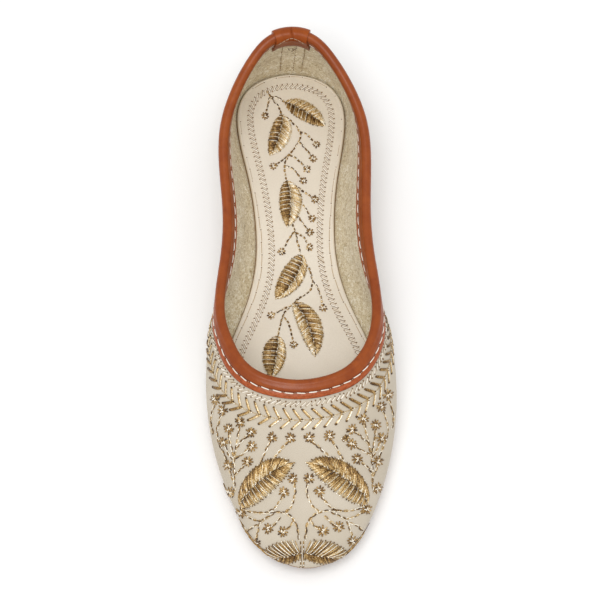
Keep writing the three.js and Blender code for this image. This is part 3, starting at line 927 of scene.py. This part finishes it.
# ---- Heel strip --------------------------------------------------------------------------------
# A strip of the lining suede, pasted over the seam at the back of the heel and sewn down along
# both edges and once down its middle.
STRIP_HALF_WIDTH = 5.4
STRIP = 0.45
STRIP_TOP, STRIP_FOOT = 0.88, 0.12
STRIP_SEAM = -1.1
SEAM_STITCHES, SEAM_PITCH = 16, 0.047


def down_heel(across, up, proud):
    """Points inside the heel: millimetres across from the seam, which wanders to the inner side
    of the shoe further down, and height above the lining."""
    ring = HALF_RING + across - 1.9 + 1.2 * (1 - up)
    return face(ring, up) - (WALL + 0.1 + proud)[..., None] * outward(ring, up), -outward(ring, up)


up = np.linspace(STRIP_TOP, STRIP_FOOT, 40)[:, None]
across = STRIP_HALF_WIDTH * np.linspace(-1, 1, 24)[None, :] + 0 * up
proud = STRIP * (1 - np.abs(across / STRIP_HALF_WIDTH) ** 12) + 0.06
proud = proud - 0.3 * np.exp(-(((across - STRIP_SEAM) / 0.5) ** 2))
under = down_heel(across, up, 0 * proud - 0.15)[0]
points = np.concatenate([down_heel(across, up, proud)[0], under[:, ::-1]], 1)


def close_ends(rows, cols):
    """Quads round a row of loops, and over the first and last loop."""
    half = np.arange(cols // 2 - 1)
    cap = np.stack([half, half + 1, cols - 2 - half, cols - 1 - half], 1)
    return np.concatenate([quads(rows, cols, wrap=False), cap, (rows - 1) * cols + cap[:, ::-1]])


add_piece("heel_strip_suede", points, [close_ends(*points.shape[:2])], suede.material)

def on_strip(place):
    """Points and normals for (across, up), about as high as the strip where it is sewn down."""
    return down_heel(place[..., 0], place[..., 1], 0.1 + 0 * place[..., 0])


seams = Needlework(on_strip, sides=5)
rows = ((-STRIP_HALF_WIDTH, 0.12, 0.3), (STRIP_HALF_WIDTH, 0.12, 0.3), (STRIP_SEAM, 0.22, 0.55))
for across, lift, gap in rows:
    up = np.linspace(STRIP_TOP, 0.15, SEAM_STITCHES)[:, None] - SEAM_PITCH * (1 - gap) * stations(5)
    route = np.stack([across + chance.normal(0, 0.1, (SEAM_STITCHES, 1)) + 0 * up, up], -1)
    seams.sew(route, lift, 0.18, chance.uniform(0.1, 0.35, (SEAM_STITCHES, 1)))
# a few stitches zigzag across the strip below the collar
corners = np.array([(2.6, 0.69), (1.9, 0.64), (0.9, 0.69), (-0.2, 0.64), (-1.4, 0.7), (0.8, 0.61)])
route = corners[:-1, None] + (corners[1:] - corners[:-1])[:, None] * stations(5)[:, None]
seams.sew(route, 0.6, 0.2, np.array([0.1, 0.8, 0.2, 0.85, 0.1])[:, None])
seams.finish("heel_strip_stitches", cream.material)

# ---- Heel tab ----------------------------------------------------------------------------------
# A short strap of the same tan leather, folded over the binding at the heel seam and sewn down
# with one arc of stitches on its inner side.
TAB = 1.1
TAB_HALF_WIDTH = 8.0
TAB_DEPTH = 12.5
TAB_STITCHES = 7
on_wall = GAP + TAB / 2
on_flange = on_wall + BINDING + 0.1
leg = [(TAB_DEPTH, on_wall), (TAB_DEPTH - 0.6, on_wall + 0.05), (FLANGE + 4.5, on_wall),
       (FLANGE + 2.6, on_wall + 0.1), (FLANGE + 0.6, on_flange - 0.1), (3.5, on_flange),
       (1.5, on_flange)]
path = both_sides(leg, roll_path(ROLL + (BINDING + TAB) / 2 + 0.1, -0.2, 25))
ahead = np.gradient(path, axis=0)
skin = path + TAB / 2 * np.stack([ahead[:, 1], -ahead[:, 0]], 1) / np.hypot(*ahead.T)[:, None]
run = np.concatenate([[0], np.cumsum(np.hypot(*np.diff(skin, axis=0).T))])
run = run - run[len(run) // 2]  # distance along the tab from its crest, growing on the inner side
around = np.concatenate([run, run[::-1]])[None, :]
place = np.linspace(-1, 1, 61)
spread = TAB_HALF_WIDTH * (1 + 0.016 * np.clip(around, 0, 12))
points = strip(HALF_RING + place[:, None] * spread, path, TAB, 0.15 + 0.5 * np.abs(place) ** 2.2)
fold = place[:, None] + 0.1 * np.clip(around / 3, 0, 1)
fold = np.exp(-((fold / 0.055) ** 2)) * (np.abs(around - 0.8) < 3.4)  # one short crease on the crest
points[:, :, 2] -= 0.6 * fold
# Painted shade: the tab's inner leg is painted darker below the stitch arc, as if the roll shaded it,
# and the short crease on the crest a little darker too.
low = np.clip(0.3 * smooth((around - 2.6 - 2 * place[:, None] ** 2) / 2.5) + 0.2 * fold, 0, 1)
fields = {"painted_shade_and_dark_edge": low, "cut": 0 * low}
faces = [close_ends(*points.shape[:2])]
leather = tan_leather("tab_tan_leather", 0.15, 0.12)
tab = add_piece("heel_strap", points, faces, leather, fields, sharp=50)
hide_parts("heel_tab")


def on_tab(place):
    """Points and normals on the tab for (ring, distance from the crest)."""
    def spot(ring, far):
        """The skin's point at a distance from the crest."""
        return beside(ring, np.interp(far, run, skin[:, 0]), np.interp(far, run, skin[:, 1]))
    ring, far = place[..., 0], place[..., 1]
    by_ring = spot(ring + 0.3, far) - spot(ring - 0.3, far)
    by_far = spot(ring, far + 0.3) - spot(ring, far - 0.3)
    return spot(ring, far), unit(np.cross(by_ring, by_far))


arc = Needlework(on_tab)
place = np.linspace(-0.9, 0.9, TAB_STITCHES + 1)
for start, end in zip(place[:-1] + 0.03, place[1:] - 0.03):
    across = start + (end - start) * stations(6)
    ring = HALF_RING + 1.06 * TAB_HALF_WIDTH * across
    route = np.stack([ring, 3.3 + 3.6 * np.abs(across) ** 1.5], -1)
    arc.sew(route[None], 0.02 + 0.12 * np.sin(np.pi * stations(6)), 0.15, 0.22)
arc.finish("tab_stitches", cotton.material)

# ---- Insole ------------------------------------------------------------------------------------
# A board covered with cream leather, its edge turned under, laid in loose on the outsole. It
# carries a sprig of satin leaves and flowers, a border of slanted stitches round it, and running
# stitches near the edge.
INSOLE = 2.2
INSOLE_PLAY = 0.35


def sole_top(y):
    """Height of the outsole's upper side."""
    return underside(y) + SOLE


def insole_top(y):
    """Height of the insole's upper side."""
    return sole_top(y) + GAP + INSOLE


def plate(out, bottom, top, rungs, across, edge=0.0, lip=0.0, lip_width=2.0):
    """A plate of the foot line's outline moved out, or in when negative: rungs from side to side,
    from the toe to the heel. Its upper edge is rounded over the given width, a quarter circle, and
    raised to a lip inside it, a sine squared."""
    ring = np.linspace(0, HALF_RING, rungs)
    x, y = plan_line("foot", ring, out)
    turn = np.abs(x - plan_line("foot", ring, out - 1)[0])[:, None]
    x = np.abs(x)[:, None]
    spots = -np.cos(np.linspace(0, np.pi, across))[None, :]
    along_x = x * -spots
    along_y = y[:, None] + 0 * along_x
    inset = (x - np.abs(along_x)) * turn
    fall = edge * (1 - np.sqrt(1 - (1 - np.clip(inset / max(edge, 1e-6), 0, 1)) ** 2))
    rise = lip * np.sin(np.pi * np.clip(inset / lip_width, 0, 1)) ** 2
    upper_side = np.stack([along_x, along_y, top(along_y) - fall + rise], -1)
    lower_side = np.stack([along_x, along_y, bottom(along_y)], -1)
    return np.concatenate([upper_side, lower_side[:, ::-1]], 1)


def weld(piece):
    """Joins the points that fall together where a plate runs to a point."""
    work = bmesh.new()
    work.from_mesh(piece.data)
    bmesh.ops.remove_doubles(work, verts=work.verts, dist=1e-6)
    bmesh.ops.dissolve_degenerate(work, edges=work.edges, dist=1e-7)
    work.to_mesh(piece.data)
    work.free()


sock = Finish("insole_leather", 0.68, Specular_IOR_Level=0.3)
grain = sock.noise(0.5, 3)
base_tint = sock.mix(sock.span(sock.noise(30, 3), 0.3, 0.7), tint(223, 213, 196), tint(231, 222, 206))
sock.color(sock.mix(sock.span(grain, 0.4, 0.8, 0.0, 0.3), base_tint, tint(204, 192, 172)))
sock.relief((sock.noise(4, 3), 0.1), (grain, 0.04))
points = plate(-WALL - INSOLE_PLAY, lambda y: sole_top(y) + GAP, insole_top, rungs=220, across=90,
               edge=0.5, lip=0.35, lip_width=1.7)
faces = [close_ends(*points.shape[:2])]
insole = add_piece("insole_board", points, faces, sock.material)
weld(insole)
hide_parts("insole")


def on_insole(plan):
    """Points and normals of the insole's top for points in plan."""
    y = plan[..., 1]
    slope = insole_top(y + 0.5) - insole_top(y - 0.5)
    normal = unit(np.stack([0 * y, -slope, 1 + 0 * y], -1))
    return np.stack([plan[..., 0], y, insole_top(y)], -1), normal


SPRIG_LEAVES = (
    # base, tip, edges to the left and right of the way from base to tip, rib, shades with painted sheen,
    # lean
    dict(base=(-2.5, 106.0), tip=(15.8, 93.3), left=6.0, right=3.5, rib=1.2,
         tones=((0.56, 0.62, 0.74), (0.12, 0.28, 0.46)), lean=((0.12, 0.12), (0.08, 0.08))),
    dict(base=(-4.2, 99.6), tip=(-10.6, 79.0), left=7.0, right=3.0, rib=1.6,
         tones=((0.5, 0.68, 0.86), (0.1, 0.28, 0.46)), lean=((0.12, 0.12), (0.04, 0.04))),
    dict(base=(-3.2, 65.6), tip=(-3.6, 42.8), left=7.0, right=3.6, rib=1.7,
         tones=((0.66, 0.7, 0.6), (0.12, 0.28, 0.44)), lean=((0.12, 0.12), (0.04, 0.04))),
    dict(base=(2.6, 28.8), tip=(-10.2, 8.0), left=6.7, right=4.0, rib=3.0,
         tones=((0.74, 0.66, 0.56), (0.18, 0.34, 0.48)), lean=((0.14, 0.14), (0.03, 0.03))),
    dict(base=(-2.2, 5.8), tip=(7.0, -20.4), left=8.8, right=2.2, rib=2.6,
         tones=((0.14, 0.42, 0.6), (0.38, 0.64, 0.76)), lean=((0.12, 0.12), (0.06, 0.06))),
    dict(base=(-9.9, -10.2), tip=(-13.4, -30.2), left=5.2, right=5.7, rib=0.8,
         tones=((0.76, 0.66, 0.54), (0.14, 0.3, 0.44)), lean=((0.12, 0.12), (0.04, 0.04))),
)
SPRIG_STEMS = (
    ((-10.8, 112.1), (-9.4, 109.1), (-6.5, 105.0), (-4.8, 101.7), (-4.3, 99.7)),
    ((-9.4, 109.1), (-5.8, 108.3), (-2.3, 105.9)),
    ((-4.0, 99.4), (-0.2, 96.3), (3.9, 90.6), (3.4, 85.7), (-1.4, 79.0), (-3.3, 75.5),
     (-3.8, 70.3), (-3.1, 65.7)),
    ((-1.2, 44.2), (-0.1, 40.4), (0.9, 35.0), (1.9, 30.0)),
    ((2.8, 28.1), (4.1, 25.0), (6.4, 20.6), (7.1, 15.0), (6.0, 11.7), (2.7, 9.0), (-1.3, 6.3)),
    ((-4.0, 3.6), (-6.8, 0.0), (-9.1, -6.7), (-9.9, -10.1)),
)
SPRIG_BUDS = (  # the stem to each flower, whose heart is its last point
    ((-9.6, 108.7), (-10.8, 104.5), (-12.2, 99.2)),
    ((3.9, 90.6), (7.4, 88.9), (11.7, 83.9)),
    ((3.4, 85.4), (6.0, 82.4), (9.7, 76.7)),
    ((-1.4, 79.0), (-5.1, 76.2), (-9.1, 73.3)),
    ((-1.4, 79.0), (2.1, 76.6), (6.7, 71.3)),
    ((-3.4, 73.2), (0.1, 71.5), (4.7, 65.5)),
    ((-1.3, 64.4), (3.4, 61.0), (9.8, 56.0)),
    ((4.0, 53.6), (6.5, 49.2), (8.2, 46.5)),
    ((1.2, 48.6), (3.9, 43.8), (6.8, 39.6)),
    ((-0.4, 40.1), (-2.9, 37.0), (-6.7, 30.6)),
    ((0.2, 39.8), (3.7, 37.5), (6.5, 32.4)),
    ((7.2, 15.7), (9.9, 11.9), (11.7, 2.9)),
    ((-2.8, 4.5), (-6.4, 3.1), (-12.5, -0.1)),
    ((-6.6, -1.2), (-4.1, -5.6), (-2.6, -14.6)),
)
sprig_leaves = Needlework(on_insole)
sprig = Needlework(on_insole, sides=5)
for leaf in SPRIG_LEAVES:
    satin_leaf(sprig_leaves, **leaf, streaks=(6, 5), bold=0.2, taper=(0.7, 0.7), mottle=(0.12, 0.12),
               tooth=(0.4, 0.7))
NARROW_STEM = dict(link=2.1, width=0.16, thick=0.4, cover=(0.58, 0.72), dark=0.06)
for corners in SPRIG_STEMS:
    chain_stem(sprig, corners, **NARROW_STEM)
for corners in SPRIG_BUDS:
    chain_stem(sprig, corners, **NARROW_STEM)
    flower(sprig, corners[-1], size=2.0, petals=8)
sprig_leaves.finish("sprig_leaves", gold.material)
sprig.finish("sprig_stems", gold.material)

WAIST_INSET = 1.3


def on_foot_line(place):
    """Points and normals of the insole's top for (ring, distance inside the insole's edge), the
    distance growing at the waist."""
    y = plan_line("foot", place[..., 0], 0)[1]
    inset = place[..., 1] + WAIST_INSET * np.exp(-(((y - 18) / 24) ** 2))
    x, y = plan_line("foot", place[..., 0], -(WALL + INSOLE_PLAY) - inset)
    return on_insole(np.stack([x, y], -1))


def inside_edge(inset):
    """The line round the insole's top at a distance inside its edge, as a function of ring."""
    return lambda ring: on_foot_line(np.stack([ring, inset + 0 * ring], -1))[0]


BORDER_OUTER, BORDER_INNER = 5.0, 7.3
BORDER_PITCH, BORDER_SLANT = 2.35, 2.9
EDGE_PITCH, EDGE_STITCH = 6.2, 4.9
border = Needlework(on_foot_line, sides=5)
ring, speed = paces(inside_edge((BORDER_OUTER + BORDER_INNER) / 2), BORDER_PITCH)
t = stations(6)
for strand, tone, thick in ((-0.5, 0.2, 0.19), (-0.02, 1.0, 0.34), (0.44, 0.45, 0.15)):
    tones = tone + chance.normal(0, 0.08, (len(ring), 1))
    ahead = strand + BORDER_SLANT * t + 0.25 * np.sin(2 * np.pi * t)
    border.sew(round_shoe(ring, speed, ahead, BORDER_OUTER + (BORDER_INNER - BORDER_OUTER) * t),
               0.08 + 0.16 * np.sin(np.pi * t), thick, np.clip(tones, 0, 1))
beads = ((-0.1, BORDER_OUTER, 0.46, 0.16), (BORDER_SLANT, BORDER_INNER, 0.4, 0.2),
         (-0.6, BORDER_OUTER - 0.1, 0.26, 0.95))
for ahead, inset, size, tone in beads:
    border.sew(round_shoe(ring, speed, ahead + 0.6 * BEAD, inset), 0.16, size * BEAD_SHAPE, tone)
border.finish("insole_border", cream.material)

running = Needlework(on_foot_line, sides=5)
ring, speed = paces(inside_edge(1.6), EDGE_PITCH)
inset = (1.2 + 0.4 * np.exp(-(((plan_line("foot", ring, 0)[1] - 30) / 26) ** 2)))[:, None]
inset = inset + chance.normal(0, 0.12, (len(ring), 1))
running.sew(round_shoe(ring, speed, 0.5 + EDGE_STITCH * t, inset), 0.02, 0.17, 0.42)
running.sew(round_shoe(ring, speed, 0.6 * BEAD, inset), 0.05, 0.3 * BEAD_SHAPE, 0.12)
running.finish("insole_edge_stitches", cream.material)

# ---- Outsole and heel lift ---------------------------------------------------------------------
# One thickness of tanned leather cut to the foot's outline, and a low lift of the same under the
# heel.
sole_hide = Finish("sole_leather", 0.5, Specular_IOR_Level=0.4)
sole_hide.color(sole_hide.mix(sole_hide.noise(3, 4), tint(166, 130, 92), tint(134, 98, 64)))
sole_hide.relief((sole_hide.noise(0.8, 4), 0.1))
points = plate(0.15, underside, sole_top, rungs=260, across=40)
faces = [close_ends(*points.shape[:2])]
outsole = add_piece("outsole_leather", points, faces, sole_hide.material)
weld(outsole)
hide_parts("outsole")
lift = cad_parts["heel_lift"]
lift.data.materials.clear()
lift.data.materials.append(sole_hide.material)

# ---- Floor, light and camera -------------------------------------------------------------------
# Not part of the shoe: a plain white floor under it, an even white sky, and two large soft lamps
# overhead. The camera looks down on it from the toe end, a little to one side.
floor_paint = Finish("white_floor", 0.9)
floor_paint.shader.inputs["Base Color"].default_value = (0.93, 0.93, 0.93, 1)
mesh = bpy.data.meshes.new("floor")
mesh.from_pydata([(-4, -4, 0), (4, -4, 0), (4, 4, 0), (-4, 4, 0)], [], [(0, 1, 2, 3)])
mesh.materials.append(floor_paint.material)
floor = bpy.data.objects.new("floor", mesh)
bpy.context.scene.collection.objects.link(floor)

world = bpy.data.worlds.new("studio")
world.use_nodes = True
world.node_tree.nodes["Background"].inputs["Color"].default_value = (1, 1, 1, 1)
world.node_tree.nodes["Background"].inputs["Strength"].default_value = 0.8
bpy.context.scene.world = world

lamps = (("key", (-0.2, -0.35, 1.4), 0.7, 8.5), ("fill", (0.4, -0.2, 1.3), 0.9, 1.0))
for name, place, size, power in lamps:
    lamp = bpy.data.lights.new(name, "AREA")
    lamp.shape, lamp.size, lamp.energy = "SQUARE", size, power
    light = bpy.data.objects.new(name, lamp)
    light.location = place
    light.rotation_euler = Vector(place).to_track_quat("Z", "Y").to_euler()
    bpy.context.scene.collection.objects.link(light)

lens = bpy.data.cameras.new("camera")
lens.sensor_width = 36
lens.lens = 201.3
camera = bpy.data.objects.new("camera", lens)
place = Vector((-0.0557, -0.5264, 1.4765))
aim = Vector((0.0004, 0.0006, 0.0248))
level = Vector((0.9996, -0.0273, 0))
backward = (place - aim).normalized()
above = backward.cross(level).normalized()
level = above.cross(backward)
turn = Matrix((level, above, backward)).transposed().to_4x4()
camera.matrix_world = Matrix.Translation(place) @ turn
bpy.context.scene.collection.objects.link(camera)
bpy.context.scene.camera = camera
bpy.context.scene.view_settings.view_transform = "Standard"
